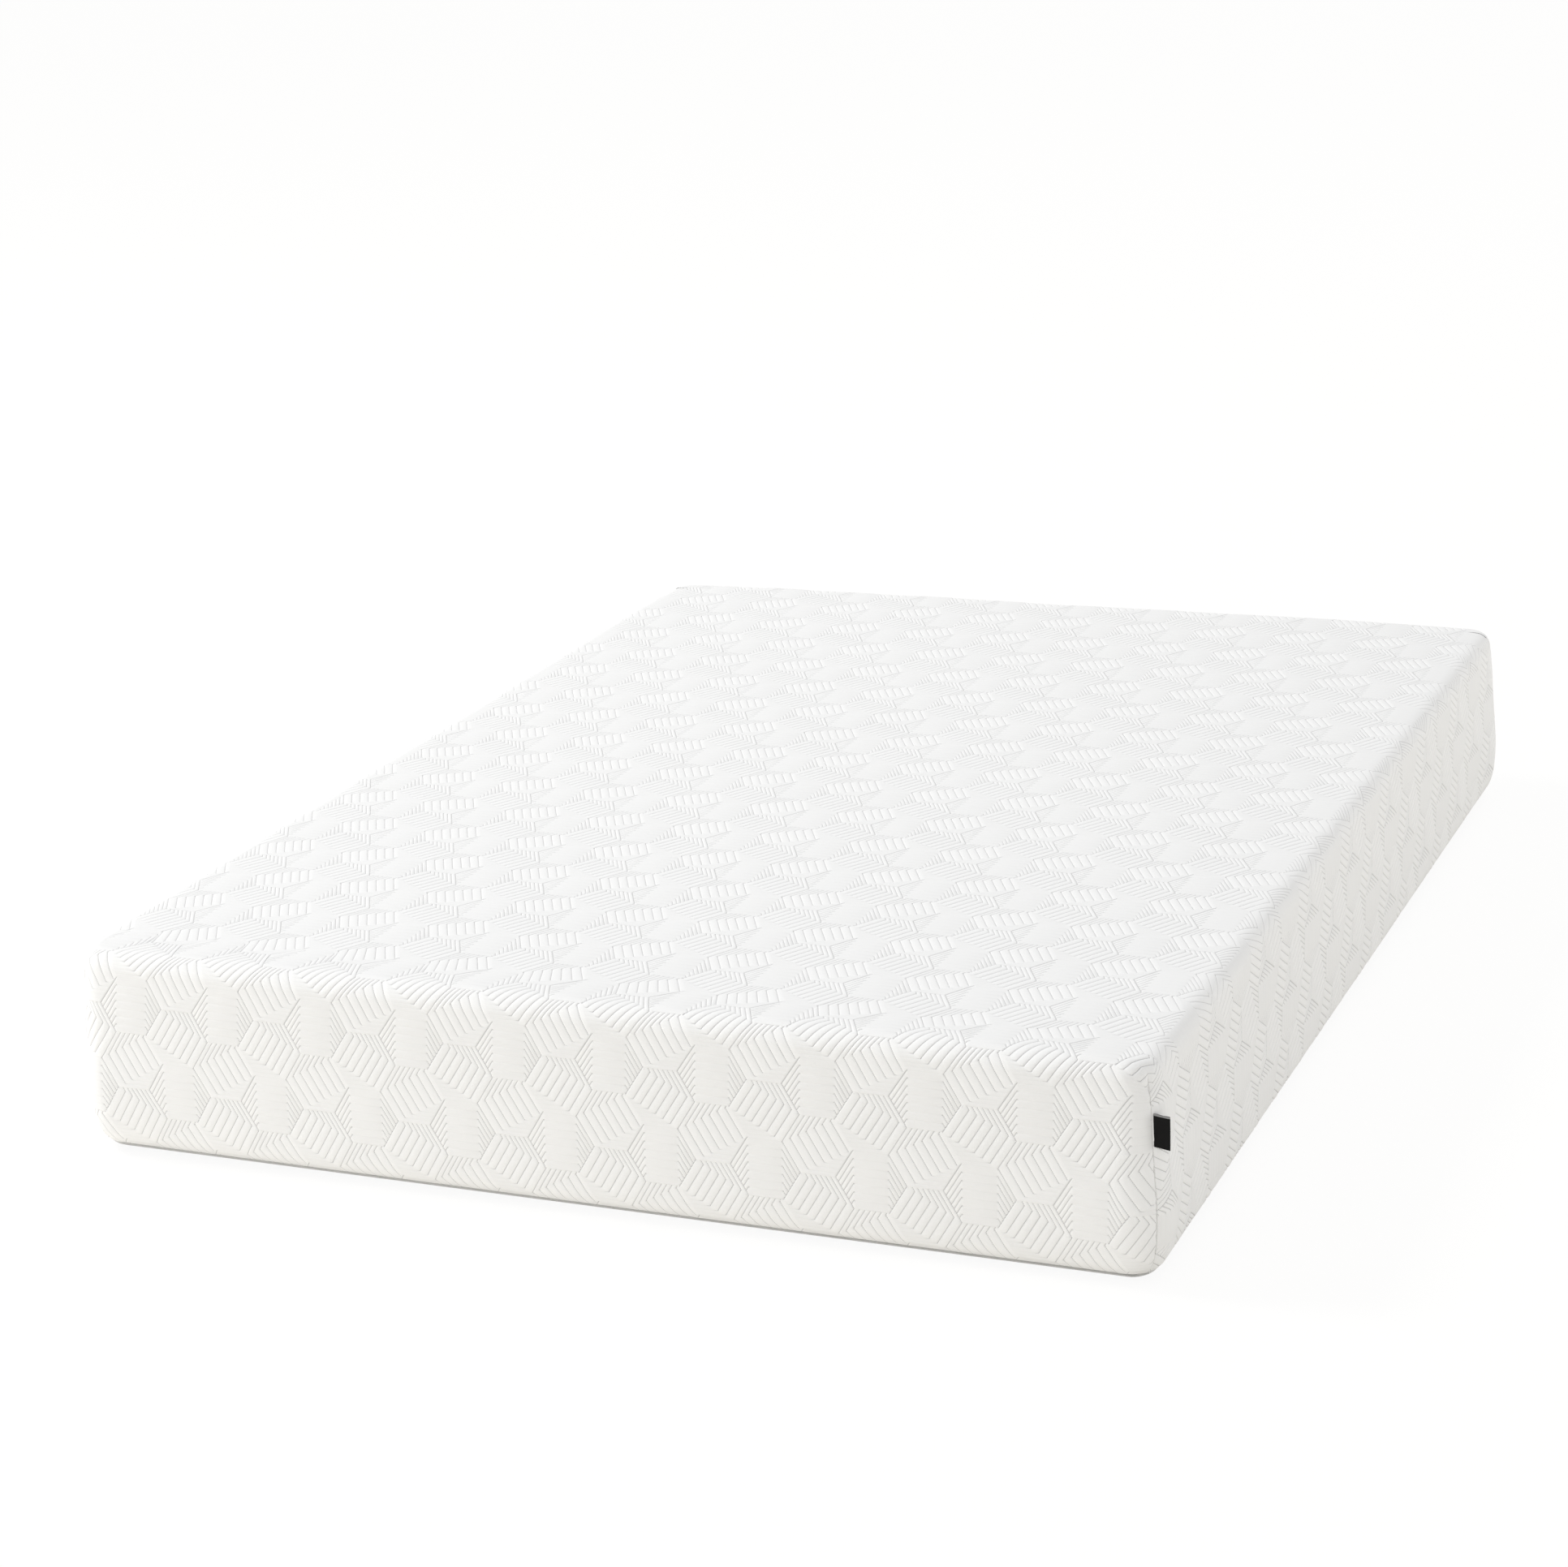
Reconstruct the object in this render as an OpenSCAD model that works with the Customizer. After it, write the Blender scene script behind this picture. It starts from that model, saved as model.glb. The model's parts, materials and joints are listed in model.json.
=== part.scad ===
// Queen memory foam mattress: three glued foams in a fire sock, inside a
// knitted cover that zips onto a base panel round the bottom edge.
// The foot is at -Y and the head at +Y. The mattress stands on Z = 0.

/* [Mattress] */
// Width across the bed
mattress_w = 1524; // [900:1:2000]
// Length from head to foot
mattress_l = 2032; // [1800:1:2200]
// Height from the base panel to the sleeping surface
mattress_h = 295; // [200:1:400]
// Rounding of the four vertical corners
corner_r = 44; // [44:1:80]
// Rounding of the edge round the top
top_edge_r = 26; // [16:1:40]
// Rounding of the edge round the bottom
bottom_edge_r = 40; // [38:1:44]

/* [Foam core] */
// Memory foam on top
memory_t = 76; // [50:1:100]
// Transition foam in the middle
transition_t = 64; // [25:1:75]
// Gap held by the glue between two foams
glue_t = 0.3; // [0.2:0.1:1]

/* [Cover] */
// Thickness of the knit and of the base panel
cover_t = 4; // [3.5:0.5:8]
// Thickness of the fire sock
sock_t = 1; // [0.5:0.1:2]
// Gap between one soft layer and the next
layer_gap = 0.3; // [0.2:0.1:0.5]
// Angle round the vertical corners where the cover is sewn shut
seam_angle = 38; // [20:1:45]
// Diameter of the sewn thread line down each corner
seam_thread_d = 1.4; // [1:0.1:2]
// Bare cloth between the top edge's rounding and the end of each corner seam
seam_top_gap = 8; // [2:1:30]

/* [Label] */
// Height of the folded label, down the seam
label_h = 43; // [25:1:60]
// How far the label stands out of the seam
label_w = 21; // [12:1:30]
// Thickness of the label's ribbon
ribbon_t = 0.5; // [0.3:0.1:0.8]
// Slit between the label's two plies
ribbon_slit = 0.3; // [0.2:0.1:0.6]
// Distance from the top down to the middle of the label
label_drop = 86; // [60:1:150]

/* [Zip] */
// Where the zip runs round the bottom edge, up from straight down
zip_angle = 38; // [34:1:44]
// Width of the closed chain
chain_w = 6; // [5:0.1:7]
// Height of the coil on its tape
coil_h = 2; // [1.5:0.1:2.5]
// Thickness of the tapes
tape_t = 0.8; // [0.5:0.1:1]
// Gap between the two tapes
tape_gap = 2.4; // [2:0.1:3]
// Bare tape on each side of the zip's middle
tape_show = 8; // [7:0.5:9]
// Width of tape sewn under the cloth's edge
tape_sewn = 7; // [5:0.5:9]
// Length of the slider
slider_l = 13; // [11:0.5:16]
// Thickness of the slider's two plates
plate_t = 0.95; // [0.8:0.05:1.1]
// Running gap round the slider
slide_gap = 0.3; // [0.2:0.05:0.4]
// Length of the pull tab past its pin
pull_l = 27; // [20:1:35]
// Width of the pull tab
pull_w = 7.6; // [6.6:0.2:9]
// Thickness of the pull tab
pull_t = 1.2; // [1:0.1:1.4]
// Diameter of the pull's pin under the crown
pin_d = 1.4; // [1.2:0.1:1.6]
// Distance from the corner's rounding to the parked slider
zip_park = 60; // [50:1:120]

/* [Hidden] */
$fn = 64;

// Corner centres of the rounded outline
inner_w = mattress_w - 2 * corner_r;
inner_l = mattress_l - 2 * corner_r;

// Depth below the outer surface at which the sock and the foam lie
sock_depth = cover_t + layer_gap;
foam_depth = sock_depth + sock_t + layer_gap;
foam_top = mattress_h - foam_depth;
memory_z = foam_top - memory_t;
transition_z = memory_z - glue_t - transition_t;

// Centre of the bottom edge's rounding, out from a corner centre
bottom_u = corner_r - bottom_edge_r;

// The zip is stacked outwards from the sock, as radii round the bottom edge's centre
rail_t = 1.1;
slider_w = chain_w + 2 * slide_gap + 2 * rail_t;
slider_sag = bottom_edge_r - sqrt(bottom_edge_r * bottom_edge_r - slider_w * slider_w / 4);
inner_plate_r = bottom_edge_r - sock_depth + slide_gap;
tape_r = inner_plate_r + plate_t + slide_gap + slider_sag;
lip_r = tape_r + tape_t + layer_gap;
sewn_on = 0.1;
coil_r = tape_r + tape_t + sewn_on;
outer_plate_r = coil_r + coil_h + slide_gap;
crown_r = outer_plate_r + plate_t;

// Angles of the cloth's edges on both sides of the zip
function arc_deg(length) = length / bottom_edge_r * 180 / PI;
show_deg = arc_deg(tape_show);
sewn_deg = arc_deg(tape_show + tape_sewn);
gap_deg = arc_deg(layer_gap);

// Along the head end, towards +X: bottom stop, top stops, slider
nose_x = -inner_w / 2 + zip_park;
stop_l = 2.6;
wedge_l = 4;
nose_lip = 0.6;
chain_start = nose_x + nose_lip + wedge_l + slide_gap;
top_stop_x = nose_x - slide_gap - stop_l;
bottom_stop_x = nose_x - zip_park / 2;
crown_w = 2.2;
crown_t = 1;
crown_slot_h = pin_d + 4 * slide_gap;
pin_x = slider_l / 2;

// ---- profiles across an edge: x is out from the corner centres, y is height ----

// Quarter disc, its corner at the origin, turned up for the top edge or down for the bottom
module quarter(r, up)
  intersection() {
    circle(r);
    translate([0, up ? 0 : -r]) square([r, r]);
  }

// Everything that lies deeper than depth below the outer surface
module inside(depth) {
  translate([corner_r - top_edge_r, mattress_h - top_edge_r]) quarter(top_edge_r - depth, true);
  translate([bottom_u, bottom_edge_r]) quarter(bottom_edge_r - depth, false);
  translate([0, bottom_edge_r]) square([corner_r - depth, mattress_h - top_edge_r - bottom_edge_r]);
  translate([0, mattress_h - top_edge_r]) square([corner_r - top_edge_r, top_edge_r - depth]);
  translate([0, depth]) square([bottom_u, bottom_edge_r - depth]);
}

// Cloth of thickness t at a depth, all the way round the edge
module cloth_profile(depth, t)
  difference() {
    inside(depth);
    inside(depth + t);
  }

// Direction out of the bottom edge's centre at an angle from straight down
function ray(angle) = 2 * mattress_h * [sin(angle), -cos(angle)];

// Half of the profile's plane: beyond an angle on the bottom edge, or short of it
module beyond(angle)
  translate([bottom_u, bottom_edge_r])
    polygon([[0, 0], ray(angle), ray(90) + ray(180), ray(180) - [mattress_h, 0], [-mattress_h, 0]]);

module short_of(angle)
  translate([bottom_u, bottom_edge_r])
    polygon([[0, 0], [-mattress_h, 0], [-mattress_h, -mattress_h], ray(angle)]);

// Ring sector round the bottom edge's centre, between two angles
module band(r_in, r_out, from, to)
  translate([bottom_u, bottom_edge_r])
    intersection() {
      difference() {
        circle(r_out);
        circle(r_in);
      }
      polygon([[0, 0], ray(from), ray(to)]);
    }

// Sweeps a profile round the mattress: four straight runs and four turned corners
module swept_rim() {
  for (side = [0, 180])
    rotate([0, 0, side]) {
      translate([inner_w / 2, 0, 0]) rotate([90, 0, 0]) linear_extrude(inner_l, center = true) children();
      translate([0, inner_l / 2, 0]) rotate([90, 0, 90]) linear_extrude(inner_w, center = true) children();
      translate([inner_w / 2, inner_l / 2, 0]) rotate_extrude(angle = 90) children();
      translate([-inner_w / 2, inner_l / 2, 0]) rotate([0, 0, 90]) rotate_extrude(angle = 90) children();
    }
}

// Flat sheet between the corner centres, with its underside at z
module sheet(z, t)
  translate([-inner_w / 2, -inner_l / 2, z]) cube([inner_w, inner_l, t]);

// ---- foam core ----

// The whole core, pressed round at its edges by the cover
module foam_core() {
  swept_rim() inside(foam_depth);
  sheet(foam_depth, mattress_h - 2 * foam_depth);
}

// One layer cut from the core between two heights
module foam_layer(from, to)
  intersection() {
    foam_core();
    translate([-mattress_w / 2, -mattress_l / 2, from]) cube([mattress_w, mattress_l, to - from]);
  }

module support_foam() { color("#e9e4d2") foam_layer(0, transition_z - glue_t); }

module transition_foam() { color("#d9e2e6") foam_layer(transition_z, memory_z - glue_t); }

module memory_foam() { color("#f3efe0") foam_layer(memory_z, mattress_h); }

module fire_sock() {
  color("#dcdcd8") {
    swept_rim() cloth_profile(sock_depth, sock_t);
    sheet(sock_depth, sock_t);
    sheet(mattress_h - sock_depth - sock_t, sock_t);
  }
}

// ---- cover ----

// Places children on the outside of each vertical corner, at the sewn line
module at_corner_seams(corners = [0, 1, 2, 3]) {
  turns = [-seam_angle, seam_angle, 180 - seam_angle, 180 + seam_angle];
  places = [[1, -1], [1, 1], [-1, 1], [-1, -1]];
  for (i = corners)
    translate([places[i][0] * inner_w / 2, places[i][1] * inner_l / 2, 0])
      rotate([0, 0, turns[i]]) translate([corner_r, 0, 0]) children();
}

// The sewn line down the straight part of a corner, fattened by extra
module seam_line(extra = 0)
  translate([0, 0, bottom_edge_r - extra])
    cylinder(d = seam_thread_d + 2 * extra,
             h = mattress_h - bottom_edge_r - top_edge_r - seam_top_gap + 2 * extra);

// Top and four sides in one cross-shaped cut, turned under to the zip
module knit_cover() {
  color("#f4f3ef")
    difference() {
      union() {
        swept_rim() {
          intersection() {
            cloth_profile(0, cover_t);
            beyond(zip_angle + sewn_deg);
          }
          band(lip_r, bottom_edge_r, zip_angle + show_deg, zip_angle + sewn_deg);
        }
        sheet(mattress_h - cover_t, cover_t);
      }
      at_corner_seams() seam_line(layer_gap);
    }
}

module corner_threads() { color("#ffffff") at_corner_seams() seam_line(); }

// Folded ribbon caught in the seam at the foot's right corner
module label_tab() {
  plies_t = 2 * ribbon_t + ribbon_slit;
  flat_w = label_w - plies_t / 2;
  color("#1b1814")
    at_corner_seams([0])
      rotate([0, 0, seam_angle])
        translate([seam_thread_d / 2 + layer_gap, 0, mattress_h - label_drop - label_h / 2])
          linear_extrude(label_h) {
            for (side = [-1, 1])
              translate([0, side * (ribbon_slit + ribbon_t) / 2 - ribbon_t / 2]) square([flat_w, ribbon_t]);
            translate([flat_w, 0]) difference() {
              circle(d = plies_t);
              circle(d = ribbon_slit);
              translate([-plies_t, -plies_t]) square([plies_t, 2 * plies_t]);
            }
          }
}

// Base cloth, turned up to the zip all round
module base_panel() {
  color("#e6e5e1") {
    swept_rim() {
      intersection() {
        cloth_profile(0, cover_t);
        short_of(zip_angle - sewn_deg);
      }
      band(lip_r, bottom_edge_r, zip_angle - sewn_deg, zip_angle - show_deg);
    }
    sheet(0, cover_t);
  }
}

// ---- zip ----

// side is 1 for the half on the knit and -1 for the half on the base
module zip_tape(side) {
  inner_edge = zip_angle + side * arc_deg(tape_gap / 2);
  outer_edge = zip_angle + side * (sewn_deg - gap_deg);
  swept_rim() band(tape_r, tape_r + tape_t, min(inner_edge, outer_edge), max(inner_edge, outer_edge));
}

module knit_zip_tape() { color("#f0efeb") zip_tape(1); }

module base_zip_tape() { color("#f0efeb") zip_tape(-1); }

// Half of the closed coil, with its shoulder rounded off; parted between the stops
module zip_coil(side) {
  half = chain_w / 2;
  shoulder = 0.6;
  meet = 0.05;
  difference() {
    swept_rim()
      translate([bottom_u, bottom_edge_r]) rotate(zip_angle - 90)
        polygon([[coil_r, side * meet], [coil_r, side * half],
                 [coil_r + coil_h - shoulder, side * half],
                 [coil_r + coil_h, side * (half - shoulder)], [coil_r + coil_h, side * meet]]);
    translate([bottom_stop_x - slide_gap, inner_l / 2, 0])
      cube([chain_start - bottom_stop_x + slide_gap, corner_r, bottom_edge_r]);
  }
}

module knit_zip_coil() { color("#fafafa") zip_coil(1); }

module base_zip_coil() { color("#fafafa") zip_coil(-1); }

// Stands children on the zip's line along the head end: X along it, Z out of the
// cloth with its zero at the edge's centre, Y towards the base panel
module at_zip(x)
  translate([x, inner_l / 2 + bottom_u, bottom_edge_r]) rotate([180 + zip_angle, 0, 0]) children();

// Clip pinched over the inner edge of one tape; its web stands in the tape gap
module tape_clip(side, web_y, web_t) {
  reach = chain_w / 2;
  grip = 0.15;
  leg = 0.9;
  low = tape_r - slider_sag - grip - leg;
  top = coil_r + coil_h;
  translate([0, side > 0 ? web_y : -reach, low]) cube([stop_l, reach - web_y, leg]);
  translate([0, side > 0 ? web_y : -reach, tape_r + tape_t + grip])
    cube([stop_l, reach - web_y, top - tape_r - tape_t - grip]);
  translate([0, side > 0 ? web_y : -web_y - web_t, low]) cube([stop_l, web_t, top - low]);
}

module zip_top_stops() {
  color("#d8d8d6")
    at_zip(top_stop_x)
      for (side = [-1, 1]) tape_clip(side, 0.2, tape_gap / 2 - 0.35);
}

module zip_bottom_stop() {
  color("#d8d8d6")
    at_zip(bottom_stop_x)
      for (side = [-1, 1]) tape_clip(side, 0, tape_gap / 2 - 0.15);
}

// Shield outline of the slider, with its nose at x = 0
module slider_outline(w) {
  tail = w / 2;
  nose = tail - 0.9;
  polygon([[0, -nose], [0.9, -tail], [slider_l - 2.4, -tail], [slider_l - 0.8, -tail + 0.9],
           [slider_l, -tail + 2.2], [slider_l, tail - 2.2], [slider_l - 0.8, tail - 0.9],
           [slider_l - 2.4, tail], [0.9, tail], [0, nose]]);
}

// Two plates joined by the wedge, side rails round the coil, and a crown for the pull
module zip_slider() {
  rail_y = chain_w / 2 + slide_gap;
  rail_r = tape_r + tape_t + slide_gap;
  wedge_w = tape_gap - 2 * slide_gap;
  crown_l = slider_l - 4;
  crown_h = crown_slot_h + crown_t;
  color("#b9bcc0")
    at_zip(nose_x) {
      translate([0, 0, inner_plate_r]) linear_extrude(plate_t) slider_outline(slider_w);
      translate([0, 0, outer_plate_r]) linear_extrude(plate_t) slider_outline(slider_w);
      translate([nose_lip, -wedge_w / 2, inner_plate_r + plate_t])
        cube([wedge_l, wedge_w, outer_plate_r - inner_plate_r - plate_t]);
      for (side = [0, 1])
        mirror([0, side, 0])
          translate([0.9, rail_y, rail_r]) cube([slider_l - 3.3, rail_t, outer_plate_r - rail_r]);
      translate([2, crown_w / 2, crown_r]) rotate([90, 0, 0]) linear_extrude(crown_w)
        difference() {
          polygon([[0, 0], [0, crown_h - 0.9], [1.2, crown_h], [crown_l - 1.2, crown_h],
                   [crown_l, crown_h - 0.9], [crown_l, 0]]);
          translate([crown_t, 0]) square([crown_l - 2 * crown_t, crown_slot_h]);
        }
    }
}

// Flat tab on a round pin that turns under the crown, lying back over the chain
module zip_pull() {
  eye_w = crown_w + 4 * slide_gap;
  eye_l = slider_l / 2 + 1;
  color("#b9bcc0")
    at_zip(nose_x + pin_x)
      translate([0, 0, crown_r + crown_slot_h / 2]) {
        rotate([90, 0, 0]) cylinder(d = pin_d, h = pull_w - 2, center = true);
        translate([0, 0, -pull_t / 2])
          linear_extrude(pull_t)
            difference() {
              union() {
                translate([0, -pull_w / 2 + 1]) square([eye_l, pull_w - 2]);
                translate([eye_l, -pull_w / 2]) square([pull_l - eye_l - pull_w / 2, pull_w]);
                translate([pull_l - pull_w / 2, 0]) circle(d = pull_w);
              }
              translate([-1, -eye_w / 2]) square([eye_l, eye_w]);
              translate([pull_l - pull_w / 2, 0]) circle(d = pull_w / 2);
            }
      }
}

support_foam();
transition_foam();
memory_foam();
fire_sock();
knit_cover();
corner_threads();
label_tab();
base_panel();
knit_zip_tape();
base_zip_tape();
knit_zip_coil();
base_zip_coil();
zip_top_stops();
zip_bottom_stop();
zip_slider();
zip_pull();
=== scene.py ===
"""A knitted queen mattress: quilt-knit cover, corner seams, label, base cloth and
zip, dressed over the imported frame."""

import json
import math

import bmesh
import bpy
import numpy as np
from bpy.props import FloatProperty, FloatVectorProperty, IntProperty, PointerProperty
from bpy.types import Operator, Panel, PropertyGroup
from mathutils import Matrix, Vector

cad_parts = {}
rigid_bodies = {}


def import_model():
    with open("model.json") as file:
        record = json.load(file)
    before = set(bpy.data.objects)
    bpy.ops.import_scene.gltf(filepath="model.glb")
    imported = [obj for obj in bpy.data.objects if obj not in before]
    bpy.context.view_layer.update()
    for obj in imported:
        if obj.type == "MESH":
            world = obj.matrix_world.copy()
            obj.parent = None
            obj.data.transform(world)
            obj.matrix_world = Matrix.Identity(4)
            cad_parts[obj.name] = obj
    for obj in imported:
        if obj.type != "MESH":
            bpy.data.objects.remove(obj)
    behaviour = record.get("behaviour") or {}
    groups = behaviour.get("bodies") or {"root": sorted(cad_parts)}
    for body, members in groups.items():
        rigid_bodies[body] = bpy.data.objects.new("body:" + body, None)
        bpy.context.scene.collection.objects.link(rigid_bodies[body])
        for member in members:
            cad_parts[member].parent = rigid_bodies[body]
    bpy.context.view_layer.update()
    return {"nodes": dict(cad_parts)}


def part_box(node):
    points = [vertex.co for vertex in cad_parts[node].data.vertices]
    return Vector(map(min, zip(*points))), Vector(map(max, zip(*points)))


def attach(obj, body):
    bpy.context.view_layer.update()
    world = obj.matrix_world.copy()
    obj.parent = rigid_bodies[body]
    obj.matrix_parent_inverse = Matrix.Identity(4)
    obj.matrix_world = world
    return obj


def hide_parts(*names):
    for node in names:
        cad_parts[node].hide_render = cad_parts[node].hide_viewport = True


bl_info = {
    "name": "Knitted Mattress",
    "version": (1, 0, 0),
    "blender": (4, 5, 0),
    "location": "View3D > Sidebar > Mattress",
    "description": "Dresses a zipped foam mattress in its knitted cover",
    "category": "Add Mesh",
}

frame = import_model()
BODY = "mattress"

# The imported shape, in metres; the foot is at -Y and the floor at Z = 0
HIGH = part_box("knit_cover")[1]
HEIGHT = HIGH[2]
CORNER_R = 0.044
TOP_R = 0.026
BOTTOM_R = 0.040
INNER_X = HIGH[0] - CORNER_R
INNER_Y = HIGH[1] - CORNER_R
CORNERS = ((INNER_X, INNER_Y), (-INNER_X, INNER_Y), (-INNER_X, -INNER_Y), (INNER_X, -INNER_Y))
# From a corner's centre out to the centre of the bottom edge's rounding
BOTTOM_CENTRE = CORNER_R - BOTTOM_R
SEAM_ANGLE = math.radians(38)
ZIP_ANGLE = math.radians(38)
# Bare tape between the zip's middle and a cloth's edge, as an angle
LIP_ANGLE = 0.008 / BOTTOM_R
# Rounding of the cloth's turned edges, and of the cloth tucked into a corner seam
HEM_R = 0.00065
TUCK_R = 0.0015
TUCK = 0.003
# Rounding of the zip's middle line at a corner, and that line's length
ZIP_DEPTH = 0.0006
ZIP_R = BOTTOM_CENTRE + (BOTTOM_R - ZIP_DEPTH) * math.sin(ZIP_ANGLE)
RIM_LENGTH = 4 * (INNER_X + INNER_Y) + 2 * math.pi * ZIP_R
# Vertices closer than this are one when a mesh is cut
WELD = 1e-6
# Edges of bent panels closer than this are sewn together
SEW = 2e-5

# Distances along the cloth, out from the line through two corner centres
ROLL_START = CORNER_R - TOP_R
WALL_START = ROLL_START + TOP_R * math.pi / 2
WALL_END = WALL_START + HEIGHT - TOP_R - BOTTOM_R
HEM_ANGLE = math.pi / 2 - ZIP_ANGLE - LIP_ANGLE
HEM = WALL_END + BOTTOM_R * HEM_ANGLE
CLOTH_END = HEM + HEM_R * math.pi
# Cloth that an end flap, and a side flap, wraps round a corner
FLAP_WRAP = CORNER_R * (math.pi / 2 - SEAM_ANGLE)
SIDE_WRAP = CORNER_R * SEAM_ANGLE


# ---------------------------------------------------------------- meshes


def mesh_of(bm, name):
    """Makes a mesh of a finished bmesh."""
    mesh = bpy.data.meshes.new(name)
    bm.to_mesh(mesh)
    bm.free()
    return mesh


def object_from(bm, name, material, smooth=True):
    """Makes an object of a finished bmesh and links it to the scene."""
    mesh = mesh_of(bm, name)
    if smooth:
        mesh.polygons.foreach_set("use_smooth", [True] * len(mesh.polygons))
    mesh.materials.append(material)
    obj = bpy.data.objects.new(name, mesh)
    bpy.context.scene.collection.objects.link(obj)
    return obj


def applied(obj):
    """Mesh of an object with its modifiers; the object itself is removed."""
    graph = bpy.context.evaluated_depsgraph_get()
    mesh = bpy.data.meshes.new_from_object(obj.evaluated_get(graph))
    bpy.data.objects.remove(obj)
    return mesh


def points_of(mesh):
    """The places of a mesh's vertices, one to a row."""
    flat = np.empty(len(mesh.vertices) * 3)
    mesh.vertices.foreach_get("co", flat)
    return flat.reshape(-1, 3)


def repeat(obj, count, step, merge=0.0):
    """Repeats an object along a step; merge is the distance at which vertices join."""
    array = obj.modifiers.new("repeat", "ARRAY")
    array.count = count
    array.use_relative_offset = False
    array.use_constant_offset = True
    array.constant_offset_displace = step
    array.use_merge_vertices = merge > 0
    array.merge_threshold = merge


def slice_mesh(bm, point, normal, geometry=None, **clear):
    """Cuts all of a mesh, or some of its geometry, along a plane; gives the faces cut."""
    if geometry is None:
        geometry = bm.verts[:] + bm.edges[:] + bm.faces[:]
    done = bmesh.ops.bisect_plane(bm, geom=geometry, dist=WELD, plane_co=point, plane_no=normal,
                                  **clear)
    return [g for g in done["geom"] if isinstance(g, bmesh.types.BMFace)]


def grow(bm, edges, step):
    """Extrudes edges along a step; gives the new vertices and edges."""
    grown = bmesh.ops.extrude_edge_only(bm, edges=edges)["geom"]
    verts = [g for g in grown if isinstance(g, bmesh.types.BMVert)]
    edges = [g for g in grown if isinstance(g, bmesh.types.BMEdge) and set(g.verts) <= set(verts)]
    bmesh.ops.translate(bm, verts=verts, vec=step)
    return verts, edges


def on_axis(axis, length):
    """A vector along one axis."""
    vector = Vector()
    vector[axis] = length
    return vector


def ramp(x, start, length):
    """Rises smoothly from 0 at a start to 1 a length further on."""
    x = np.clip((x - start) / length, 0, 1)
    return x * x * (3 - 2 * x)


def bell(distance, reach):
    """Falls smoothly from 1 at no distance to nearly 0 at twice the reach."""
    return np.exp(-(distance / reach) ** 2)


def heading(degrees):
    """Unit vector in the plane, at an angle from the X axis."""
    return Vector((math.cos(math.radians(degrees)), math.sin(math.radians(degrees))))


# ---------------------------------------------------------------- knit


# For each direction of ribs, in degrees: how stitched its grooves are, and how dark the painted
# shade in them is
GROOVE_LOOKS = {0: (0.0, 0.08), 60: (0.15, 1.0), 120: (1.0, 0.9)}
# How the three hexagons differ: direction of the wide ribs, and turn to the narrow ones
HEXAGONS = {"rise": (60, 60), "fall": (120, -60), "flat": (0, -60)}
# How flat the tops of wide and of narrow ribs are
WIDE_FLATNESS = 7
NARROW_FLATNESS = 4
# Where ribs get a cut for their rounding, in half widths of a groove from its middle
RIM_CUTS = (1.5,)
LEVEL_RIM_CUTS = (1.5, 3)
FLANK_CUT = 2.8
# How far the laid-out knit reaches past its rectangle
SPARE = 0.08


def groove_zones(knit, side):
    """The three rib zones of each hexagon: fold side, rib direction, loft and stitch.

    A hexagon has a rectangle of wide ribs across its middle and a triangle of
    narrow ribs on both sides; the three hexagons are turned by 60 degrees."""
    strength = {0: knit.faint_loft, 60: 1.0, 120: knit.stitched_loft}
    zones = {}
    for name, (turn, plus) in HEXAGONS.items():
        # one of the three starts with half a rib, so that its grooves meet its neighbours'
        ribs = knit.ribs_across - (0.5 if name == "fall" else 0)
        pitch = side * math.sqrt(3) / ribs
        stack = heading(turn - 90)
        first = stack * (-side * math.sqrt(3) / 2)
        zones[name] = []
        for fold, rib in ((0, turn), (1, turn + plus), (-1, turn - plus)):
            rib %= 180
            across = heading(rib - 90)
            wide = fold == 0
            stitch, line = GROOVE_LOOKS[rib]
            zones[name].append({
                "turn": heading(turn), "across": across, "fold": fold, "count": ribs, "wide": wide,
                # a triangle's grooves carry on from the ends of the rectangle's grooves
                "start": first + fold * heading(turn) * side / 2,
                "step": stack * pitch,
                "pitch": pitch * abs(across.dot(stack)),
                "loft": (knit.wide_loft if wide else knit.narrow_loft) * strength[rib],
                "level": knit.faint_level if rib == 0 else 0.0,
                "stitch": stitch, "line": line,
            })
    return zones


def grouped(bm, key):
    """Faces by their number in a layer."""
    groups = {}
    for face in bm.faces:
        groups.setdefault(face[key], []).append(face)
    return groups


def raise_ribs(bm, key, regions, groove_width):
    """Lifts a cut cell to its ribs' heights and stores what the finish needs."""
    # 'groove' is the mask of the painted shade in the grooves; 'plain' marks the level zones
    groove = bm.verts.layers.float.new("groove")
    stitch = bm.verts.layers.float.new("stitch")
    plain = bm.verts.layers.float.new("plain")
    for vert in bm.verts:
        heights, lines, stitched, plains = [], [], [], []
        around = [regions[number] for number in {f[key] for f in vert.link_faces}]
        # ribbed hexagons are sewn down between each other; a level zone runs up to its rim
        rim = (len({tuple(centre) for _, centre in around}) > 1
               and all(zone["level"] == 0 for zone, _ in around))
        for zone, centre in around:
            place = (vert.co.to_2d() - centre - zone["start"]).dot(zone["across"]) / zone["pitch"]
            offset = abs(place - round(place)) * 2
            swell = 1 - (1 - offset) ** (WIDE_FLATNESS if zone["wide"] else NARROW_FLATNESS)
            heights.append(0 if rim else zone["level"] + zone["loft"] * swell)
            lines.append(max(0, 1 - offset * zone["pitch"] / groove_width) * zone["line"])
            stitched.append(zone["stitch"])
            plains.append(0.0 if rim else float(zone["level"] > 0))
        vert.co.z = min(heights)
        vert[groove] = max(lines)
        vert[stitch] = max(stitched)
        vert[plain] = min(plains)


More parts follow.
